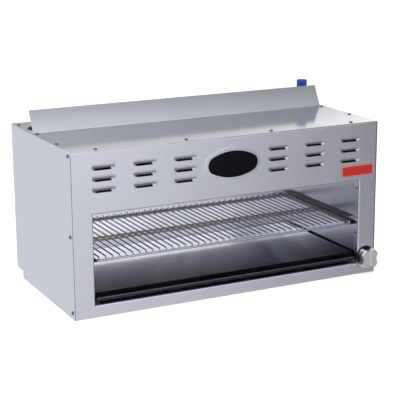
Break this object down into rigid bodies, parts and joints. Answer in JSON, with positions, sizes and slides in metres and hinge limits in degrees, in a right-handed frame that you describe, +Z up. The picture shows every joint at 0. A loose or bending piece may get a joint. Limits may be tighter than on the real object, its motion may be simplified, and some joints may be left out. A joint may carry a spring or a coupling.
{
  "type": "gas cheese melter",
  "caption": "Wide open-front gas broiler in folded stainless sheet, with a louvred header, a sliding wire rack and crumb tray, ceramic burners above, one knob and a rear flue deflector.",
  "frame": {"origin": "middle of the cabinet's underside, at mid-depth", "axes": "+X to the right seen from the front, +Y to the back, +Z up; the open front faces -Y"},
  "size_m": [0.9204, 0.4837, 0.5087],
  "materials": {
    "brushed_stainless": "brushed along the length of the sheet, satin",
    "inner_stainless": "mill finish sheet, slightly dull",
    "tray_stainless": "bright rolled sheet, nearly mirror-like",
    "rack_chrome": "bright plated wire",
    "burner_steel": "aluminised steel, heat-toned",
    "ceramic_tile": "porous cream ceramic with fine flame ports",
    "heat_screen": "heat-darkened alloy screen",
    "valve_brass": "machined, satin",
    "black_pipe": "lacquered black steel pipe",
    "pilot_aluminium": "drawn soft tube",
    "knob_metal": "die-cast, satin plated",
    "bezel_black": "moulded black, half gloss",
    "cap_blue": "soft moulded blue cap",
    "plug_black": "moulded black, half gloss",
    "badge_rim": "bright stamped rim",
    "badge_black": "bare black field, gloss",
    "plate_red": "bare red field with a thin pale border",
    "screw_steel": "plated fasteners"
  },
  "bodies": {
    "root": {"front_panel": "brushed_stainless", "left_side_panel": "brushed_stainless", "right_side_panel": "brushed_stainless", "back_panel": "inner_stainless", "bottom_panel": "inner_stainless", "top_panel": "brushed_stainless", "flue_deflector": "brushed_stainless", "flue_baffle": "inner_stainless", "ceiling_baffle": "inner_stainless", "left_liner": "inner_stainless", "right_liner": "inner_stainless", "rear_liner": "inner_stainless", "left_tray_runner": "inner_stainless", "right_tray_runner": "inner_stainless", "left_rack_guide": "inner_stainless", "right_rack_guide": "inner_stainless", "left_burner_box": "burner_steel", "right_burner_box": "burner_steel", "left_tile_frame": "burner_steel", "right_tile_frame": "burner_steel", "left_burner_tiles": "ceramic_tile", "right_burner_tiles": "ceramic_tile", "left_burner_screen": "heat_screen", "right_burner_screen": "heat_screen", "left_venturi": "burner_steel", "right_venturi": "burner_steel", "left_orifice": "valve_brass", "right_orifice": "valve_brass", "gas_manifold": "black_pipe", "manifold_plug": "black_pipe", "manifold_brackets": "inner_stainless", "manifold_elbow": "black_pipe", "riser_pipe": "black_pipe", "gas_valve": "valve_brass", "knob_bezel": "bezel_black", "supply_pipe": "black_pipe", "supply_elbow": "black_pipe", "supply_bracket": "inner_stainless", "inlet_pipe": "black_pipe", "inlet_bracket": "inner_stainless", "inlet_hole_plug": "plug_black", "pilot_valve": "valve_brass", "pilot_tube": "pilot_aluminium", "pilot_burner": "burner_steel", "badge_rim_ring": "badge_rim", "badge_insert": "badge_black", "model_plate": "plate_red", "leg_nuts": "screw_steel", "lid_screws": "screw_steel", "skin_screws": "screw_steel", "deflector_screws": "screw_steel", "liner_screws": "screw_steel"},
    "control": {"knob": "knob_metal", "valve_stem": "valve_brass"},
    "rack": {"wire_rack": "rack_chrome"},
    "tray": {"crumb_tray": "tray_stainless"},
    "pipe_cap": {"inlet_cap": "cap_blue"}
  },
  "joints": [
    {"name": "knob_turn", "type": "hinge", "parent": "root", "child": "control", "pos_m": [0.427, -0.2286, 0.047], "axis": [0, -1, 0], "range_deg": [0, 90]},
    {"name": "rack_slide", "type": "slide", "parent": "root", "child": "rack", "axis": [0, -1, 0], "range_m": [0, 0.3]},
    {"name": "tray_slide", "type": "slide", "parent": "root", "child": "tray", "axis": [0, -1, 0], "range_m": [0, 0.3]},
    {"name": "cap_pull", "type": "slide", "parent": "root", "child": "pipe_cap", "axis": [0, 0, 1], "range_m": [0, 0.022]}
  ]
}
